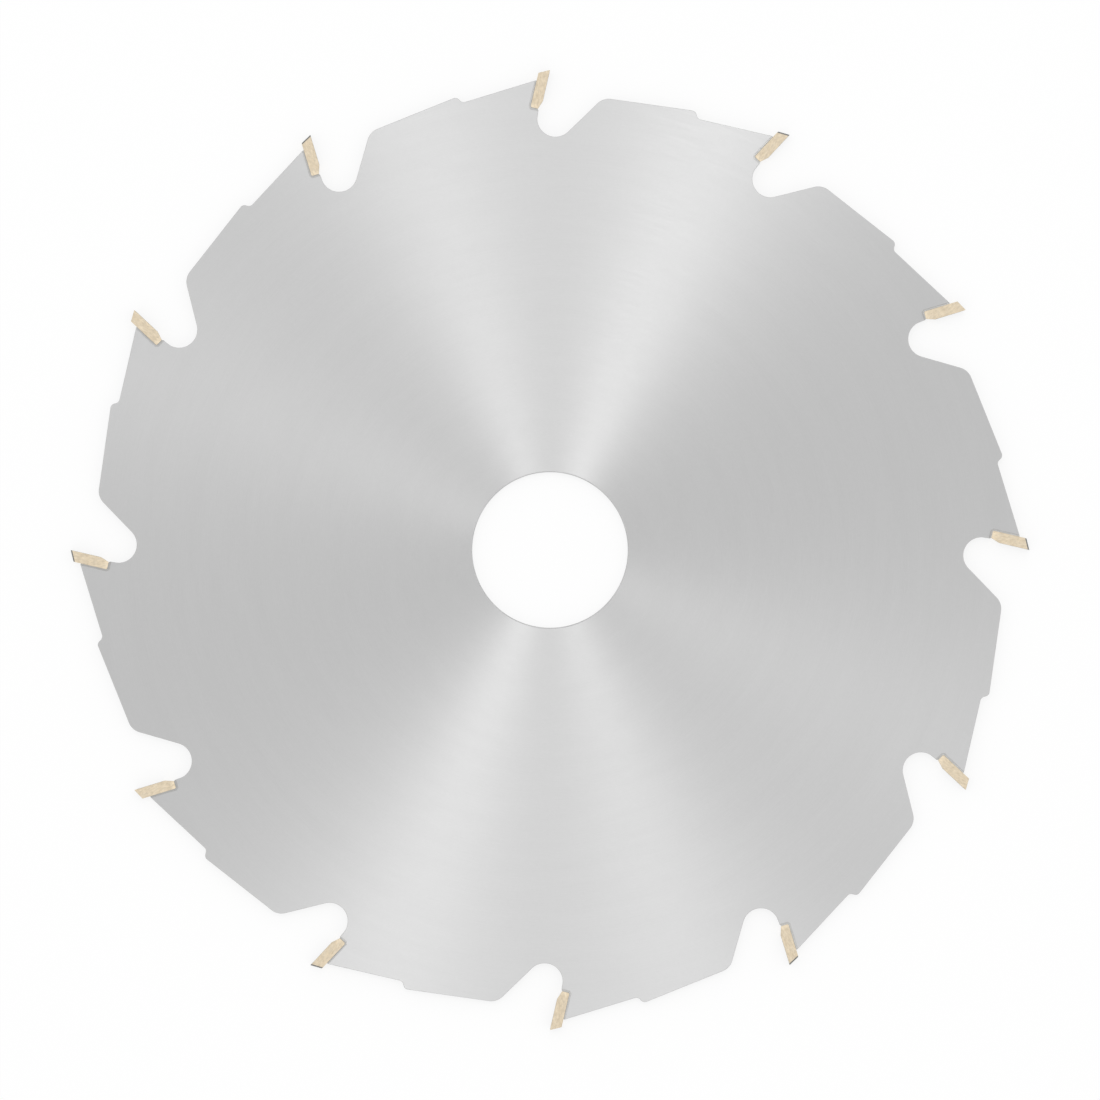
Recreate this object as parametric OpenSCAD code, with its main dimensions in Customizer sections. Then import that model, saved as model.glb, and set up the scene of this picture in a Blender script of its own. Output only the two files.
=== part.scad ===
// Carbide-tipped circular saw blade: a flat steel plate with carbide tips brazed into its teeth.
// The blade lies flat. Z is the arbor axis, and the origin is the middle of the arbor hole, half way
// through the plate. Seen from above, tooth 1 is at twelve o'clock, and the blade cuts clockwise.
// Each tooth is drawn at twelve o'clock, with its cutting face towards +X, and then turned to its place.
// Lengths are in millimetres and angles in degrees.

/* [Blade] */
// Diameter across the points of the tips
cutting_d = 185; // [165:1:230]
// Diameter of the arbor hole
bore_d = 30; // [16:0.5:40]
// Chamfer at each end of the arbor hole
bore_chamfer = 0.2; // [0.05:0.05:0.4]
// Thickness of the steel plate
plate_t = 1.6; // [1.2:0.1:2.4]
// Number of teeth, even so that the top bevels alternate
teeth = 12; // [8:2:16]

/* [Carbide tip] */
// How far a tip stands out past each face of the plate, at its point
side_set = 0.4; // [0.3:0.05:0.8]
// Length of a tip along its cutting face
tip_length = 7.8; // [6:0.1:10]
// Thickness of a tip behind its cutting face
tip_t = 2.05; // [1.6:0.05:3]
// Lean of the cutting face from the radius
hook_angle = 13; // [5:0.5:20]
// Fall of the top behind the point
top_angle = 13.5; // [8:0.5:18]
// Bevel across the top
bevel_angle = 10; // [2:1:15]
// Lean of each flank towards the foot
flank_angle = 1; // [0.25:0.25:1.5]
// Lean of each flank towards the back
flank_relief = 2; // [0.5:0.25:3]
// Length of the bevel at the foot of the cutting face
toe_length = 1.75; // [0.8:0.05:3]
// Depth of the bevel at the foot of the cutting face
toe_depth = 0.64; // [0.2:0.02:0.8]
// Chamfer on the heel, the corner that sits in the plate
heel_chamfer = 0.2; // [0.1:0.05:0.7]
// How far the back of a tip stands above the plate behind it
tip_proud = 1.575; // [0.6:0.025:2]
// Thickness of the braze behind and under a tip
braze_t = 0.25; // [0.1:0.05:0.35]
// How far the floor of the seat reaches out past the foot of a tip
seat_ledge = 0.2; // [0:0.05:0.3]

/* [Back of the tooth] */
// Fall of the back behind the tip
back_angle = 17; // [14:0.5:20]
// Length of the back, from the tip to the foot of the step
back_length = 14.75; // [11:0.25:18]
// Height of the step, square to the back
step_rise = 1.4; // [0.9:0.05:2]
// Steepness of the step from the back
step_angle = 64; // [45:1:75]
// Radius at the foot and at the head of the step
step_r = 1; // [0.4:0.05:1.2]

/* [Gullet] */
// Length of the straight wall below the tip
wall_length = 1.1; // [0.6:0.1:3]
// Lean of the straight wall from the radius
wall_angle = 8.5; // [2:0.5:12]
// Radius of the gullet
gullet_r = 3.5; // [2.5:0.1:4.5]
// Rise of the ramp that leaves the gullet
ramp_angle = 44; // [38:1:50]
// Depth of the shoulder at the end of the ramp, inside the circle of the points
shoulder_drop = 4.75; // [4:0.05:6]
// Radius of the shoulder
shoulder_r = 3.2; // [1:0.1:5]

/* [Hidden] */
$fn = 96;
tip_r = cutting_d / 2;
bore_r = bore_d / 2;
kerf_w = plate_t + 2 * side_set;
pitch = 360 / teeth;
// A round is drawn this much too large, so that it crosses the straight edges that it blends
blend = 0.001;
// The most of a straight edge that one round may use up
round_share = 0.45;
// Side of the blocks that grind a tip to shape
block = 4 * tip_length;

function heading(angle) = [cos(angle), sin(angle)];
function unit(v) = v / norm(v);
function turned(p, angle) = [p.x * cos(angle) - p.y * sin(angle), p.x * sin(angle) + p.y * cos(angle)];
// A point given by its distance down the cutting face and back from it
function on_tip(down, back) = [0, tip_r] + down * heading(270 - hook_angle) + back * heading(180 - hook_angle);
// Where a line from p reaches the circle of radius r about the arbor
function reach(p, dir, r) = p + dir * (sqrt(pow(p * dir, 2) - p * p + r * r) - p * dir);
// A round at corner q, between the edges to p and n: its half angle, its fitted radius, its ends and its centre
function half_angle(p, q, n) = acos(unit(p - q) * unit(n - q)) / 2;
function fitted(p, q, n, r) = min(r, round_share * min(norm(p - q), norm(n - q)) * tan(half_angle(p, q, n)));
function round_ends(p, q, n, r) = [for (e = [p, n]) q + unit(e - q) * r / tan(half_angle(p, q, n))];
function round_centre(p, q, n, r) = q + unit(unit(p - q) + unit(n - q)) * r / sin(half_angle(p, q, n));

// Side of the tip, before its top is ground
tip_blank = [
    on_tip(-tip_t, 0),
    on_tip(tip_length - toe_length, 0),
    on_tip(tip_length, toe_depth),
    on_tip(tip_length, tip_t - heel_chamfer),
    on_tip(tip_length - heel_chamfer, tip_t),
    on_tip(-tip_t, tip_t)
];

// Back and foot of the tip, and of its seat, which lies out by the braze and ends in a ledge
seat_top = tip_t * tan(top_angle + hook_angle) + tip_proud;
heel_shift = tan(45 / 2);
function seat(gap, ledge) = [
    on_tip(seat_top, tip_t + gap),
    on_tip(tip_length - heel_chamfer + gap * heel_shift, tip_t + gap),
    on_tip(tip_length + gap, tip_t - heel_chamfer + gap * heel_shift),
    on_tip(tip_length + gap, toe_depth - ledge)
];
tip_back = seat(0, 0);
tip_seat = seat(braze_t, seat_ledge);

// Back of the tooth, with the step that leads down to it from the hump
back_top = tip_seat[0];
step_foot = back_top + back_length * heading(180 + back_angle);
step_head = step_foot + step_rise / sin(step_angle) * heading(180 + back_angle - step_angle);

// Gullet in front of the tooth, and the ramp up to the shoulder
wall_top = tip_seat[3];
wall_foot = wall_top + wall_length * heading(270 - wall_angle);
gullet_c = wall_foot + gullet_r * heading(-wall_angle);
ramp_foot = gullet_c + gullet_r * heading(ramp_angle - 90);
shoulder = reach(ramp_foot, heading(ramp_angle), tip_r - shoulder_drop);

// The same back and step on the next tooth, which end the hump after the shoulder
next_back = turned(back_top, -pitch);
next_foot = turned(step_foot, -pitch);
next_head = turned(step_head, -pitch);
past_back = next_back + (tip_t + braze_t) * heading(back_angle - pitch);

shoulder_fit = fitted(ramp_foot, shoulder, next_head, shoulder_r);
head_fit = fitted(shoulder, next_head, next_foot, step_r);
foot_fit = fitted(next_head, next_foot, next_back, step_r);

function two_digits(i) = str(i < 10 ? "0" : "", i);
function tip_name(i) = str("carbide_tip_", two_digits(i));
function braze_name(i) = str("braze_", two_digits(i));

// Turns what is drawn at twelve o'clock to tooth i
module at_tooth(i) {
    rotate(-(i - 1) * pitch)
        children();
}

// What is cut from the blank between one tooth's seat and the next tooth's back
module gap_cut() {
    difference() {
        union() {
            polygon(concat(
                [on_tip(-tip_length, tip_t + braze_t), tip_seat[1], tip_seat[2], wall_top, wall_foot, ramp_foot],
                round_ends(ramp_foot, shoulder, next_head, shoulder_fit),
                round_ends(shoulder, next_head, next_foot, head_fit),
                round_ends(next_head, next_foot, next_back, foot_fit),
                [past_back],
                [for (turn = [pitch, pitch / 2, 0]) (tip_r + tip_length) * heading(90 - turn)]
            ));
            translate(gullet_c)
                circle(gullet_r + blend);
            translate(round_centre(next_head, next_foot, next_back, foot_fit))
                circle(foot_fit + blend);
        }
        translate(round_centre(ramp_foot, shoulder, next_head, shoulder_fit))
            circle(shoulder_fit + blend);
        translate(round_centre(shoulder, next_head, next_foot, head_fit))
            circle(head_fit + blend);
    }
}

// Arbor hole with both its chamfers
module bore_cut() {
    chamfer_end = 2 * bore_chamfer;
    rotate_extrude()
        polygon([
            [0, -plate_t / 2 - bore_chamfer],
            [bore_r + chamfer_end, -plate_t / 2 - bore_chamfer],
            [bore_r, -plate_t / 2 + bore_chamfer],
            [bore_r, plate_t / 2 - bore_chamfer],
            [bore_r + chamfer_end, plate_t / 2 + bore_chamfer],
            [0, plate_t / 2 + bore_chamfer]
        ]);
}

module blade_plate() {
    color("#cacac8")
        difference() {
            translate([0, 0, -plate_t / 2])
                linear_extrude(plate_t)
                    difference() {
                        circle(tip_r);
                        for (i = [1:teeth])
                            at_tooth(i)
                                gap_cut();
                    }
            bore_cut();
        }
}

// Ground off one flank: the tip narrows towards its foot and its back
module flank_cut() {
    translate([0, tip_r, kerf_w / 2])
        rotate(-hook_angle)
            rotate([flank_angle, -flank_relief, 0])
                translate([-block / 2, -block / 2, 0])
                    cube(block);
}

// Ground off the top: it falls behind the point and, across the tip, away from the high side
module top_cut(high_side) {
    translate([0, tip_r, high_side * kerf_w / 2])
        rotate(top_angle)
            rotate([-high_side * bevel_angle, 0, 0])
                translate([-block / 2, 0, -block / 2])
                    cube(block);
}

module carbide_tip(i) {
    color("#e2d3ba")
        at_tooth(i)
            difference() {
                translate([0, 0, -kerf_w])
                    linear_extrude(2 * kerf_w)
                        polygon(tip_blank);
                flank_cut();
                mirror([0, 0, 1])
                    flank_cut();
                top_cut(i % 2 == 1 ? 1 : -1);
            }
}

module braze(i) {
    color("#b9b4a6")
        at_tooth(i)
            translate([0, 0, -plate_t / 2])
                linear_extrude(plate_t)
                    polygon(concat(tip_seat, [for (k = [3:-1:0]) tip_back[k]]));
}

blade_plate();
for (i = [1:teeth]) {
    carbide_tip(i);
    braze(i);
}
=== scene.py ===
import math

import bmesh
import bpy
from mathutils import Matrix, Vector, noise


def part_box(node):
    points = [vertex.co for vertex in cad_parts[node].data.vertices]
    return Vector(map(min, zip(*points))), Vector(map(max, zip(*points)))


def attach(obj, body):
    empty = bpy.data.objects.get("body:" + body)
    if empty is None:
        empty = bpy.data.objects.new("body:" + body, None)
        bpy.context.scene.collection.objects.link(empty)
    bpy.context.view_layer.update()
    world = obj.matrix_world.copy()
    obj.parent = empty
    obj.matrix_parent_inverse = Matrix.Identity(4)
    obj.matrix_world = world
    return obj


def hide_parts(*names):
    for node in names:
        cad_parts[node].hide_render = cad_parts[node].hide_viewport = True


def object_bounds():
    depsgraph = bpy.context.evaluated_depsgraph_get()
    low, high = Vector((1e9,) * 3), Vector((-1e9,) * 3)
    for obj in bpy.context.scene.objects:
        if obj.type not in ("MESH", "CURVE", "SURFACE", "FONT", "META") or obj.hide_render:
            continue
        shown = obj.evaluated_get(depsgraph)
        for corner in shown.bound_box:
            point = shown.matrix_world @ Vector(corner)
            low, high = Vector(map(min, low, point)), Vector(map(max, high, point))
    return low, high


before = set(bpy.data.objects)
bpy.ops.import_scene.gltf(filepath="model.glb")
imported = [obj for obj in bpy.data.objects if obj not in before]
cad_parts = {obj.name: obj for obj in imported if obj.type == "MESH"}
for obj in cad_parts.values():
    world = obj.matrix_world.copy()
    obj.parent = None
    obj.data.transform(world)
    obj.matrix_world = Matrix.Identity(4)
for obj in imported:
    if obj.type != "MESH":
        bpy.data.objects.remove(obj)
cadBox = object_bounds()

mm = 0.001
faceHeading = 257.0  # in degrees, down the cutting face of tooth 1
toothCount = sum(name.startswith("carbide_tip_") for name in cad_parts)
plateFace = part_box("blade_plate")[1].z  # height of the ground face above the middle of the plate
print("frame loaded:", len(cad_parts), "nodes,", toothCount, "teeth")


def toothTurn(number):
    return -2 * math.pi * (number - 1) / toothCount  # tooth 1 is at the top, the rest follow clockwise


def heading(degrees):
    return Vector((math.cos(math.radians(degrees)), math.sin(math.radians(degrees)), 0))


# small helpers for the node trees
pattern = {
    "usualRange": (0.3, 0.7),     # most of a noise lies between these
    "roughness": 0.55,
    "apart": (0.31, 0.17, 0.23),  # how far, in metres, one piece's pattern can lie from another's
}


def addNode(tree, kind, **settings):
    node = tree.nodes.new("ShaderNode" + kind)
    for key, value in settings.items():
        if key in node.inputs:
            node.inputs[key].default_value = value
        else:
            setattr(node, key, value)
    return node


def wire(tree, source, target):
    tree.links.new(source, target)


def clearedTree(owner):
    owner.use_nodes = True
    owner.node_tree.nodes.clear()
    return owner.node_tree


def emptyMaterial(name):
    material = bpy.data.materials.new(name)
    tree = clearedTree(material)
    output = addNode(tree, "OutputMaterial")
    shader = addNode(tree, "BsdfPrincipled")
    wire(tree, shader.outputs["BSDF"], output.inputs["Surface"])
    return material, tree, shader


def objectPoint(tree):
    return addNode(tree, "TexCoord").outputs["Object"]


def stretched(tree, point, scale):
    node = addNode(tree, "VectorMath", operation="MULTIPLY")
    node.inputs[1].default_value = scale
    wire(tree, point, node.inputs[0])
    return node.outputs["Vector"]


def noiseAt(tree, point, scale=1.0, detail=3.0):
    node = addNode(tree, "TexNoise", Scale=scale, Detail=detail, Roughness=pattern["roughness"])
    wire(tree, point, node.inputs["Vector"])
    return node.outputs[0]


def ranged(tree, value, limits, given=pattern["usualRange"]):
    # takes a value from the given range to new limits
    node = addNode(tree, "MapRange")
    node.inputs["From Min"].default_value = given[0]
    node.inputs["From Max"].default_value = given[1]
    node.inputs["To Min"].default_value = limits[0]
    node.inputs["To Max"].default_value = limits[1]
    wire(tree, value, node.inputs["Value"])
    return node.outputs["Result"]


def multiplied(tree, first, second):
    node = addNode(tree, "Math", operation="MULTIPLY")
    wire(tree, first, node.inputs[0])
    wire(tree, second, node.inputs[1])
    return node.outputs[0]


def scaled(tree, vector, factor):
    node = addNode(tree, "VectorMath", operation="SCALE")
    node.inputs[0].default_value = vector
    wire(tree, factor, node.inputs["Scale"])
    return node.outputs["Vector"]


def setColour(tree, shader, colour, tone):
    wire(tree, scaled(tree, colour, tone), shader.inputs["Base Color"])


def setRoughness(tree, shader, value, limits):
    wire(tree, ranged(tree, value, limits), shader.inputs["Roughness"])


def setBump(tree, shader, height, depth):
    node = addNode(tree, "Bump", Distance=depth)
    wire(tree, height, node.inputs["Height"])
    wire(tree, node.outputs["Normal"], shader.inputs["Normal"])


def outwardFrom(tree, point):
    # level vector away from the arbor's axis, and its direction
    flat = stretched(tree, point, (1, 1, 0))
    direction = addNode(tree, "VectorMath", operation="NORMALIZE")
    wire(tree, flat, direction.inputs[0])
    return flat, direction.outputs["Vector"]


def spreadAcrossRings(tree, shader, outward, anisotropy):
    # grinding lines run in rings, so light spreads across them
    shader.inputs["Anisotropic"].default_value = anisotropy
    turned = addNode(tree, "VectorTransform", vector_type="VECTOR")
    turned.convert_from = "OBJECT"
    turned.convert_to = "WORLD"
    wire(tree, outward, turned.inputs["Vector"])
    wire(tree, turned.outputs["Vector"], shader.inputs["Tangent"])


def pieceShift(tree, point):
    # each tip and each bead gets its own stretch of the pattern
    info = addNode(tree, "ObjectInfo")
    spread = scaled(tree, pattern["apart"], info.outputs["Random"])
    moved = addNode(tree, "VectorMath", operation="ADD")
    wire(tree, point, moved.inputs[0])
    wire(tree, spread, moved.inputs[1])
    return moved.outputs["Vector"]


# plate steel, ground in rings about the bore
steel = {
    "colour": (0.642, 0.642, 0.642),
    "roughness": (0.42, 0.46),
    "anisotropy": 1.0,
    "linePitch": 0.06 * mm,     # fine grinding lines
    "lineBreaks": 14.0,         # how often a line starts and stops on its way round
    "lineTone": (0.976, 1.024),
    "lineDepth": 0.0004 * mm,
    "bandPitch": 2.5 * mm,      # broad soft bands left by the wheel
    "bandBreaks": 3.0,
    "bandTone": (0.992, 1.008),
    "mottle": 0.55 * mm,
    "mottleTone": (0.992, 1.008),
}


def groundSteel():
    material, tree, shader = emptyMaterial("groundSteel")
    point = objectPoint(tree)
    flat, outward = outwardFrom(tree, point)
    reach = addNode(tree, "VectorMath", operation="LENGTH")
    wire(tree, flat, reach.inputs[0])

    def rings(pitch, breaks):
        across = addNode(tree, "Math", operation="DIVIDE")
        across.inputs[1].default_value = pitch
        wire(tree, reach.outputs["Value"], across.inputs[0])
        lift = addNode(tree, "CombineXYZ")
        wire(tree, across.outputs[0], lift.inputs["Z"])
        around = addNode(tree, "VectorMath", operation="SCALE")
        around.inputs["Scale"].default_value = breaks
        wire(tree, outward, around.inputs[0])
        place = addNode(tree, "VectorMath", operation="ADD")
        wire(tree, around.outputs["Vector"], place.inputs[0])
        wire(tree, lift.outputs["Vector"], place.inputs[1])
        return place.outputs["Vector"]

    lines = noiseAt(tree, rings(steel["linePitch"], steel["lineBreaks"]), detail=2)
    bands = noiseAt(tree, rings(steel["bandPitch"], steel["bandBreaks"]), detail=2)
    mottle = noiseAt(tree, point, scale=1 / steel["mottle"])
    tone = multiplied(tree, ranged(tree, lines, steel["lineTone"]), ranged(tree, bands, steel["bandTone"]))
    tone = multiplied(tree, tone, ranged(tree, mottle, steel["mottleTone"]))
    setColour(tree, shader, steel["colour"], tone)
    setRoughness(tree, shader, lines, steel["roughness"])
    shader.inputs["Metallic"].default_value = 1.0
    spreadAcrossRings(tree, shader, outward, steel["anisotropy"])
    setBump(tree, shader, lines, steel["lineDepth"])
    return material


# laser cut rim, with the cut's upright lines and a duller, darker skin
cut = {
    "colour": (0.30, 0.295, 0.285),
    "roughness": (0.34, 0.52),
    "linePitch": 0.14 * mm,
    "lineRun": 0.08,            # how fast the lines change on their way up, as a share of across
    "lineTone": (0.82, 1.14),
    "lineDepth": 0.012 * mm,
    "skin": 1.3 * mm,
    "skinTone": (0.86, 1.12),
}


def cutSteel():
    material, tree, shader = emptyMaterial("cutSteel")
    point = objectPoint(tree)
    across = 1 / cut["linePitch"]
    lines = noiseAt(tree, stretched(tree, point, (across, across, cut["lineRun"] * across)))
    skin = noiseAt(tree, point, scale=1 / cut["skin"], detail=4)
    tone = multiplied(tree, ranged(tree, lines, cut["lineTone"]), ranged(tree, skin, cut["skinTone"]))
    setColour(tree, shader, cut["colour"], tone)
    setRoughness(tree, shader, skin, cut["roughness"])
    shader.inputs["Metallic"].default_value = 1.0
    setBump(tree, shader, lines, cut["lineDepth"])
    return material


# the rim's edges where the burr was taken off
deburred = {
    "colour": (0.56, 0.56, 0.555),
    "roughness": (0.35, 0.55),
    "nick": 0.2 * mm,
    "nickTone": (0.88, 1.1),
    "nickDepth": 0.004 * mm,
}


def deburredSteel():
    material, tree, shader = emptyMaterial("deburredSteel")
    nicks = noiseAt(tree, objectPoint(tree), scale=1 / deburred["nick"], detail=4)
    setColour(tree, shader, deburred["colour"], ranged(tree, nicks, deburred["nickTone"]))
    setRoughness(tree, shader, nicks, deburred["roughness"])
    shader.inputs["Metallic"].default_value = 1.0
    setBump(tree, shader, nicks, deburred["nickDepth"])
    return material


# reamed bore and its two chamfers
bore = {
    "colour": (0.58, 0.58, 0.58),
    "roughness": (0.30, 0.46),
    "linePitch": 0.06 * mm,
    "lineRun": 0.02,            # how fast the lines change on their way round, as a share of up and down
    "lineTone": (0.88, 1.1),
    "lineDepth": 0.003 * mm,
}


def reamedSteel():
    material, tree, shader = emptyMaterial("reamedSteel")
    upright = 1 / bore["linePitch"]
    around = bore["lineRun"] * upright
    lines = noiseAt(tree, stretched(tree, objectPoint(tree), (around, around, upright)), detail=2)
    setColour(tree, shader, bore["colour"], ranged(tree, lines, bore["lineTone"]))
    setRoughness(tree, shader, lines, bore["roughness"])
    shader.inputs["Metallic"].default_value = 1.0
    setBump(tree, shader, lines, bore["lineDepth"])
    return material


# carbide tip: cream sides with a fine grain, dark grey where it is ground to its edges
tip = {
    "cream": (0.73, 0.625, 0.468),
    "tan": (0.69, 0.575, 0.41),
    "tanCoarseness": 0.6,       # scale of the tan patches, as a share of the mottle's
    "creamRoughness": (0.44, 0.60),
    "grain": 0.09 * mm,
    "grainTone": (0.9, 1.1),
    "grainDepth": 0.004 * mm,
    "mottle": 0.34 * mm,
    "mottleTone": (0.86, 1.14),
    "mottleRun": (1, 0.45, 1),  # it runs a little along the tip
    "footReach": (-83.3 * mm, -82.75 * mm),  # from the arbor down the face, where the foot turns pale
    "footTone": (1.0, 1.14),
    "grey": (0.212, 0.206, 0.188),
    "greyRoughness": (0.32, 0.48),
    "greyMetal": 0.7,
    "greyTint": (0.45, 0.45, 0.45, 1),
    "wheelPitch": 0.05 * mm,
    "wheelRun": 0.05,           # how fast the wheel's lines change on their way up, as a share of across
    "wheelTone": (0.85, 1.15),
    "wheelDepth": 0.002 * mm,
    "edgeBreak": 0.03 * mm,
    "topLean": 0.9,             # a face that looks outward more than this is the ground top
    "faceLean": 0.92,           # and one that looks forward more than this the cutting face
    "smallFace": 0.5 * mm * mm,  # smaller ones are broken edges
}


def creamCarbide():
    material, tree, shader = emptyMaterial("creamCarbide")
    place = objectPoint(tree)
    point = pieceShift(tree, place)
    grain = noiseAt(tree, point, scale=1 / tip["grain"], detail=2)
    along = stretched(tree, point, tip["mottleRun"])
    mottle = noiseAt(tree, along, scale=1 / tip["mottle"], detail=4)
    tone = multiplied(tree, ranged(tree, grain, tip["grainTone"]), ranged(tree, mottle, tip["mottleTone"]))
    down = addNode(tree, "VectorMath", operation="DOT_PRODUCT")
    down.inputs[1].default_value = heading(faceHeading)
    wire(tree, place, down.inputs[0])
    tone = multiplied(tree, tone, ranged(tree, down.outputs["Value"], tip["footTone"], tip["footReach"]))
    hue = noiseAt(tree, along, scale=tip["tanCoarseness"] / tip["mottle"], detail=2)
    coat = addNode(tree, "Mix", data_type="VECTOR")
    wire(tree, ranged(tree, hue, (0, 1)), coat.inputs["Factor"])
    wire(tree, scaled(tree, tip["cream"], tone), coat.inputs[4])  # 4 and 5 are the vector sockets
    wire(tree, scaled(tree, tip["tan"], tone), coat.inputs[5])
    wire(tree, coat.outputs[1], shader.inputs["Base Color"])
    setRoughness(tree, shader, mottle, tip["creamRoughness"])
    setBump(tree, shader, grain, tip["grainDepth"])
    return material


def greyCarbide():
    material, tree, shader = emptyMaterial("greyCarbide")
    point = pieceShift(tree, objectPoint(tree))
    across = 1 / tip["wheelPitch"]
    lines = noiseAt(tree, stretched(tree, point, (across, across, tip["wheelRun"] * across)), detail=2)
    setColour(tree, shader, tip["grey"], ranged(tree, lines, tip["wheelTone"]))
    setRoughness(tree, shader, lines, tip["greyRoughness"])
    shader.inputs["Metallic"].default_value = tip["greyMetal"]
    shader.inputs["Specular Tint"].default_value = tip["greyTint"]
    setBump(tree, shader, lines, tip["wheelDepth"])
    return material


# braze that has run out along the back and the foot of each tip, ground over together with the plate; its
# colour is partly the braze's own and partly painted contact shade, set darker than the plate's so the seam
# along the tip reads dark
bead = {
    # partly the braze's own tone, partly painted shade of the tip's seam
    "colour": (0.54, 0.536, 0.524),
    "roughness": (0.36, 0.52),
    "anisotropy": 1.0,
    "flow": 0.25 * mm,
    "flowTone": (0.86, 1.12),
    "flowDepth": 0.002 * mm,
    "width": 0.12 * mm,         # how far it runs out over the plate behind the tip
    "footWidth": 0.2 * mm,      # and below it
    "climb": 0.14 * mm,         # how far it climbs the tip
    "lip": 0.004 * mm,          # thickness at its outer edge
    "hollow": 3.0,              # how soon it flattens out on its way from the tip
    "waver": 0.25,              # share by which it comes and goes along the seam
    "waverPace": 0.37,          # how fast it does so, from step to step
    "waverApart": 5.3,          # keeps each tooth's waver unlike the next one's
    "step": 0.35 * mm,
    "arcSteps": 6,
    "landHeading": 197.0,       # in degrees, down the back of the tooth from the seat
    "wallHeading": 261.5,       # and down the gullet wall
}


def brazeWithPaintedSeamShade():
    material, tree, shader = emptyMaterial("brazeWithPaintedSeamShade")
    place = objectPoint(tree)
    flow = noiseAt(tree, pieceShift(tree, place), scale=1 / bead["flow"], detail=4)
    # painted shade: the braze's tone is kept below the plate's so the seam along the tip shows as a dark
    # contact line
    setColour(tree, shader, bead["colour"], ranged(tree, flow, bead["flowTone"]))
    setRoughness(tree, shader, flow, bead["roughness"])
    shader.inputs["Metallic"].default_value = 1.0
    spreadAcrossRings(tree, shader, outwardFrom(tree, place)[1], bead["anisotropy"])
    setBump(tree, shader, flow, bead["flowDepth"])
    return material


# shapes
shaping = {
    "samePlace": 0.001 * mm,    # points nearer to each other than this are one
    "flatAngle": math.radians(0.5),
    "creaseAngle": math.radians(32),
    "breakSteps": 2,
}


def wholeShape(nodeName, turn=0.0):
    # the node's own shape with its points merged and its flat faces whole again
    shape = bmesh.new()
    shape.from_mesh(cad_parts[nodeName].data)
    bmesh.ops.remove_doubles(shape, verts=shape.verts, dist=shaping["samePlace"])
    bmesh.ops.dissolve_limit(shape, angle_limit=shaping["flatAngle"], verts=shape.verts, edges=shape.edges)
    bmesh.ops.transform(shape, matrix=Matrix.Rotation(turn, 4, "Z"), verts=shape.verts)
    shape.normal_update()
    return shape


def breakEdges(shape, edges, width):
    bmesh.ops.bevel(
        shape, geom=edges, affect="EDGES", offset_type="OFFSET", offset=width,
        segments=shaping["breakSteps"], profile=0.5, clamp_overlap=False, loop_slide=True,
    )
    shape.normal_update()


def makePiece(shape, name, nodeName, finishes, turn=0.0):
    mesh = bpy.data.meshes.new(name)
    rounded = [face.smooth for face in shape.faces]
    shape.to_mesh(mesh)
    shape.free()
    if "custom_normal" in mesh.attributes:
        mesh.attributes.remove(mesh.attributes["custom_normal"])
    for finish in finishes:
        mesh.materials.append(finish)
    mesh.set_sharp_from_angle(angle=shaping["creaseAngle"])
    mesh.polygons.foreach_set("use_smooth", rounded)
    piece = bpy.data.objects.new(name, mesh)
    piece.rotation_euler.z = turn
    bpy.context.collection.objects.link(piece)
    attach(piece, "root")
    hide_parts(nodeName)


plate = {
    "edgeBreak": 0.08 * mm,     # the rim's edges, deburred
    "edgeAngle": math.radians(60),
    "boreReach": 15.5 * mm,     # faces nearer the axis than this belong to the bore
    "arcPasses": 2,             # each one doubles the points on the arcs
    "rimAngle": math.radians(30),
    "chordMatch": 0.03,         # chords of one arc are the same length to this share
    "leastTurn": math.radians(0.4),
    "mostTurn": math.radians(16),
    "wallLean": 0.9,            # a face that looks up or down less than this is a wall
    "flatLean": 0.999,          # more than this, a ground face
    "brokenLean": 0.1,          # and between this and flat, a broken edge
}


def isLevel(edge):
    return abs(edge.verts[0].co.z - edge.verts[1].co.z) < shaping["samePlace"]


def arcMiddle(edge, rims):
    # where the circle runs over the middle of a chord, or nothing on a straight edge
    for vert in edge.verts:
        follower = next(other for other in vert.link_edges if other in rims and other is not edge)
        if abs(follower.calc_length() / edge.calc_length() - 1) > plate["chordMatch"]:
            continue
        arriving = (vert.co - edge.other_vert(vert).co).xy
        leaving = (follower.other_vert(vert).co - vert.co).xy
        turn = abs(arriving.angle_signed(leaving))
        if plate["leastTurn"] < turn < plate["mostTurn"]:
            outside = arriving.orthogonal().normalized()
            if outside.dot(arriving - leaving) < 0:
                outside.negate()
            rise = outside * edge.calc_length() / 2 * math.tan(turn / 4)
            return (edge.verts[0].co + edge.verts[1].co) / 2 + rise.to_3d()
    return None


def finerArcs(shape):
    # halves every chord of the rim and the bore, with the new points on the true circles
    rims = {edge for edge in shape.edges if isLevel(edge) and edge.calc_face_angle() > plate["rimAngle"]}
    middles = [(edge, arcMiddle(edge, rims)) for edge in rims]
    added = set()
    for edge, middle in middles:
        if middle:
            vert = bmesh.utils.edge_split(edge, edge.verts[0], 0.5)[1]
            vert.co = middle
            added.add(vert)
    for face in [face for face in shape.faces if abs(face.normal.z) < plate["wallLean"]]:
        ends = [vert for vert in face.verts if vert in added]
        if len(ends) == 1:  # a triangle, split to its far corner
            ends.append(max(face.verts, key=lambda vert: abs(vert.co.z - ends[0].co.z)))
        if len(ends) == 2:
            bmesh.utils.face_split(face, ends[0], ends[1])
    shape.normal_update()


def makePlate(finishes):
    shape = wholeShape("blade_plate")
    for step in range(plate["arcPasses"]):
        finerArcs(shape)
    sharp = [edge for edge in shape.edges if isLevel(edge) and edge.calc_face_angle() > plate["edgeAngle"]]
    breakEdges(shape, sharp, plate["edgeBreak"])
    for face in shape.faces:
        flat = abs(face.normal.z) > plate["flatLean"]
        near = face.calc_center_median().xy.length < plate["boreReach"]
        broken = abs(face.normal.z) > plate["brokenLean"]
        face.material_index = 0 if flat else 2 if near else 3 if broken else 1
        face.smooth = not flat
    makePiece(shape, "bladePlate", "blade_plate", finishes)


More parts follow.
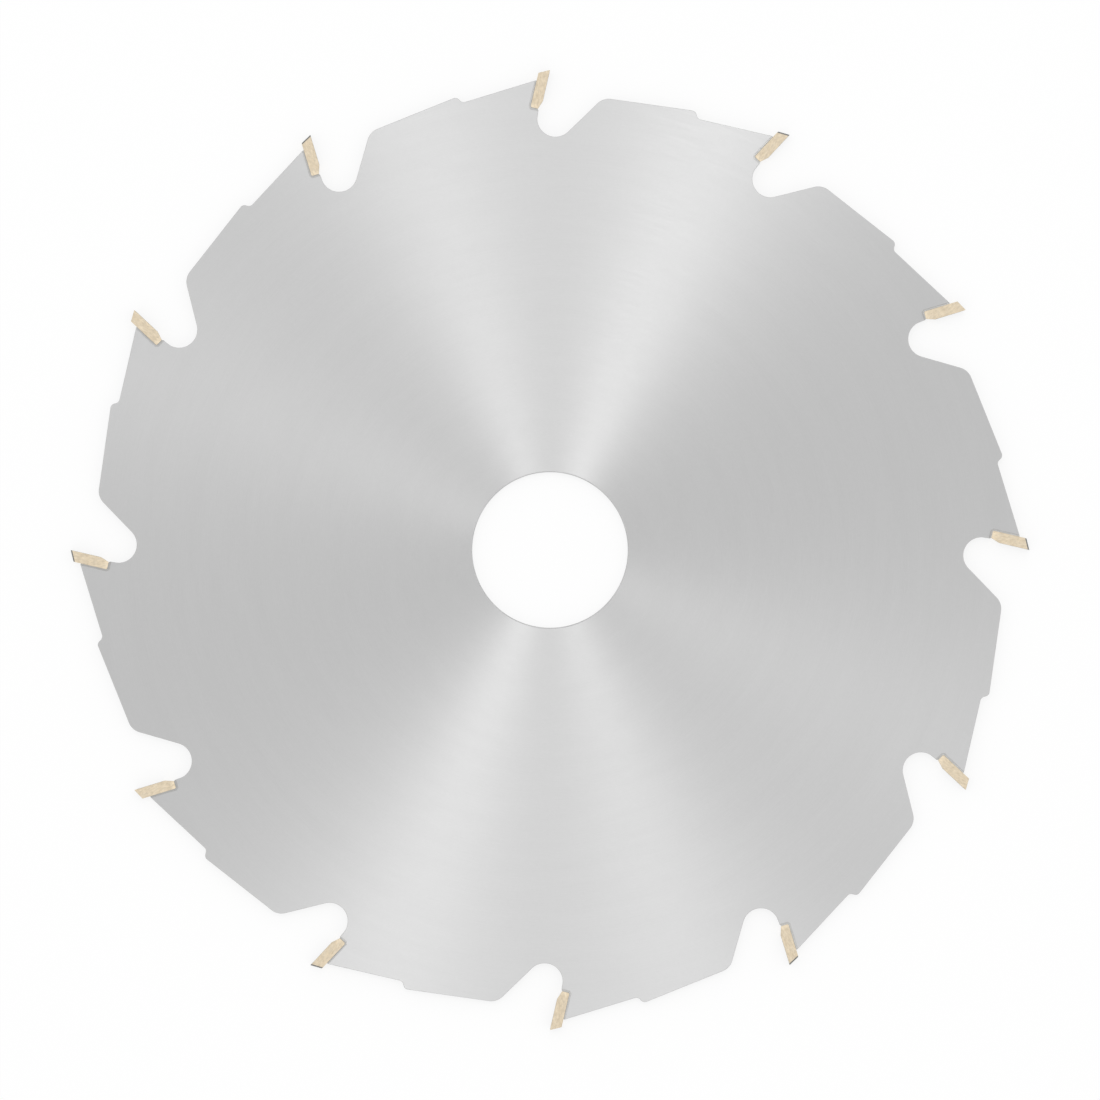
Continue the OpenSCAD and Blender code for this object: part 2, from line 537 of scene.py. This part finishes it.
def makeTip(number, finishes):
    node = "carbide_tip_%02d" % number
    turn = toothTurn(number)
    shape = wholeShape(node, -turn)
    breakEdges(shape, list(shape.edges), tip["edgeBreak"])
    for face in shape.faces:
        ground = face.normal.y > tip["topLean"] or face.normal.x > tip["faceLean"]
        face.material_index = 1 if ground else 0
        face.smooth = face.calc_area() < tip["smallFace"]
    makePiece(shape, "carbideTip%02d" % number, node, finishes, turn)


def seamLine(nodeName, turn):
    # the two edges of the braze layer in the plate's face: against the tip, and against its seat
    shape = wholeShape(nodeName, -turn)
    face = max(shape.faces, key=lambda f: f.calc_center_median().z)
    points = [vert.co.copy() for vert in face.verts]
    shape.free()
    count = len(points)
    topEnd = max(range(count), key=lambda k: points[k - 1].y + points[k].y)  # both sides start at the top
    ring = [points[(topEnd + k) % count] for k in range(count)]
    one, other = ring[:count // 2], ring[count // 2:][::-1]
    return (one, other) if one[0].x > other[0].x else (other, one)


def seamStations(tipSide, seatSide):
    # pairs of points along the seam, a step apart
    stations = []
    for k in range(len(tipSide) - 1):
        steps = max(1, round((tipSide[k + 1] - tipSide[k]).length / bead["step"]))
        for step in range(steps):
            inner = tipSide[k].lerp(tipSide[k + 1], step / steps)
            outer = seatSide[k].lerp(seatSide[k + 1], step / steps)
            stations.append((inner, outer))
    stations.append((tipSide[-1], seatSide[-1]))
    return stations


def beadSection(layer, run, climb):
    # reach from the tip and height, out over the upper face and back under the lower one
    section = []
    for side in (1, -1):
        arc = []
        for step in range(bead["arcSteps"] + 1):
            angle = math.pi / 2 * step / bead["arcSteps"]
            reach = (layer + run) * (1 - math.cos(angle))
            rise = bead["lip"] + climb * (1 - math.sin(angle)) ** bead["hollow"]
            arc.append((reach, side * (plateFace + rise)))
        arc.append((layer, side * plateFace))
        section += arc if side == 1 else arc[::-1]
    return section


def makeBead(number, finishes):
    node = "braze_%02d" % number
    turn = toothTurn(number)
    tipSide, seatSide = seamLine(node, turn)
    layer = (tipSide[0] - seatSide[0]).length
    stations = seamStations(tipSide, seatSide)
    down, land, wall = heading(faceHeading), heading(bead["landHeading"]), heading(bead["wallHeading"])
    shape = bmesh.new()
    rings = []
    for k, (inner, outer) in enumerate(stations):
        outward = (outer - inner) / layer
        waver = noise.noise(Vector((k * bead["waverPace"], number * bead["waverApart"], 0.0)))
        swell = 1 + bead["waver"] * waver
        below = max(0.0, outward.dot(down))
        run = (bead["width"] + (bead["footWidth"] - bead["width"]) * below) * swell
        climb = (bead["climb"] - bead["lip"]) * swell
        past = land if k == 0 else wall if k == len(stations) - 1 else outward  # both ends keep to the plate
        ring = []
        for reach, height in beadSection(layer, run, climb):
            place = inner + outward * min(reach, layer) + past * max(0.0, reach - layer)
            ring.append(shape.verts.new((place.x, place.y, height)))
        rings.append(ring)
    count = len(rings[0])
    for near, far in zip(rings, rings[1:]):
        for k in range(count):
            shape.faces.new((near[k], near[(k + 1) % count], far[(k + 1) % count], far[k]))
    shape.faces.new(rings[0][::-1])
    shape.faces.new(rings[-1])
    bmesh.ops.recalc_face_normals(shape, faces=shape.faces)
    if shape.calc_volume(signed=True) < 0:
        bmesh.ops.reverse_faces(shape, faces=shape.faces)
    for face in shape.faces:
        face.smooth = True
    makePiece(shape, "brazeBead%02d" % number, node, finishes, turn)


makePlate([groundSteel(), cutSteel(), reamedSteel(), deburredSteel()])
print("plate dressed")
tipFinishes = [creamCarbide(), greyCarbide()]
beadFinishes = [brazeWithPaintedSeamShade()]
for number in range(1, toothCount + 1):
    makeTip(number, tipFinishes)
    makeBead(number, beadFinishes)
print("tips and braze dressed:", toothCount, "of each")


# stage: white paper floor, even white room
stage = {
    "floorSize": 6.0,
    "paper": (0.97, 0.97, 0.97, 1),
    "white": (1, 1, 1, 1),
    "glow": 0.80,               # share of the floor's white that a shadow can't take away
    "roomLight": (0.88, 1.0),   # as it falls on things, and as it is seen
}


def seenDirectly(tree):
    # 1 where the camera, a reflection or glass looks at the surface, 0 for light that falls on things
    path = addNode(tree, "LightPath")
    first = addNode(tree, "Math", operation="MAXIMUM")
    wire(tree, path.outputs["Is Camera Ray"], first.inputs[0])
    wire(tree, path.outputs["Is Glossy Ray"], first.inputs[1])
    second = addNode(tree, "Math", operation="MAXIMUM")
    wire(tree, first.outputs[0], second.inputs[0])
    wire(tree, path.outputs["Is Transmission Ray"], second.inputs[1])
    return second.outputs[0]


def makeFloor():
    half = stage["floorSize"] / 2
    level = cadBox[0].z
    corners = [(-half, -half, level), (half, -half, level), (half, half, level), (-half, half, level)]
    mesh = bpy.data.meshes.new("floor")
    mesh.from_pydata(corners, [], [(0, 1, 2, 3)])
    material = bpy.data.materials.new("floorPaper")
    tree = clearedTree(material)
    paper = addNode(tree, "BsdfDiffuse", Color=stage["paper"])
    glow = addNode(tree, "Emission", Color=stage["white"], Strength=1.0)
    share = addNode(tree, "Math", operation="MULTIPLY")
    share.inputs[1].default_value = stage["glow"]
    wire(tree, seenDirectly(tree), share.inputs[0])
    blend = addNode(tree, "MixShader")
    wire(tree, share.outputs[0], blend.inputs[0])
    wire(tree, paper.outputs[0], blend.inputs[1])
    wire(tree, glow.outputs[0], blend.inputs[2])
    wire(tree, blend.outputs[0], addNode(tree, "OutputMaterial").inputs["Surface"])
    mesh.materials.append(material)
    floor = bpy.data.objects.new("floor", mesh)
    bpy.context.collection.objects.link(floor)


def makeRoom():
    world = bpy.data.worlds.new("whiteRoom")
    bpy.context.scene.world = world
    tree = clearedTree(world)
    strength = ranged(tree, seenDirectly(tree), stage["roomLight"], (0, 1))
    room = addNode(tree, "Background", Color=stage["white"])
    wire(tree, strength, room.inputs["Strength"])
    wire(tree, room.outputs[0], addNode(tree, "OutputWorld").inputs["Surface"])


# three strip boxes high over the blade, long side towards it
softBoxes = {
    "distance": 3.0,
    "length": 0.8,
    "boxes": {  # way round from the right of the picture, height in degrees, width, watts
        "rightBox": (68.8, 71, 0.15, 5.6),
        "leftBox": (107.8, 71, 0.16, 4.6),
        "sideBox": (155.0, 71, 0.32, 2.2),
    },
}


def makeSoftBoxes():
    for name, (around, height, width, watts) in softBoxes["boxes"].items():
        lamp = bpy.data.lights.new(name, "AREA")
        lamp.shape = "RECTANGLE"
        lamp.size = width
        lamp.size_y = softBoxes["length"]
        lamp.energy = watts
        box = bpy.data.objects.new(name, lamp)
        rise = math.radians(height)
        away = heading(around) * math.cos(rise) + Vector((0, 0, math.sin(rise)))
        box.location = away * softBoxes["distance"]
        box.rotation_mode = "QUATERNION"
        box.rotation_quaternion = (-away).to_track_quat("-Z", "Y")
        box.visible_camera = False
        bpy.context.collection.objects.link(box)


# the camera looks straight down on the blade, with a long lens
camera = {
    "height": 1.5,
    "pictureWidth": 211.98 * mm,  # real width of what the square picture takes in
    "sensorWidth": 36.0,
    "farEnd": 20.0,
}


def makeCamera():
    eye = bpy.data.cameras.new("camera")
    eye.sensor_width = camera["sensorWidth"]
    eye.lens = camera["sensorWidth"] * camera["height"] / camera["pictureWidth"]
    eye.clip_end = camera["farEnd"]
    holder = bpy.data.objects.new("camera", eye)
    holder.location = (0, 0, plateFace + camera["height"])
    bpy.context.collection.objects.link(holder)
    bpy.context.scene.camera = holder


makeFloor()
makeRoom()
makeSoftBoxes()
makeCamera()
bpy.context.scene.view_settings.view_transform = "Standard"
print("stage, lamps and camera set")
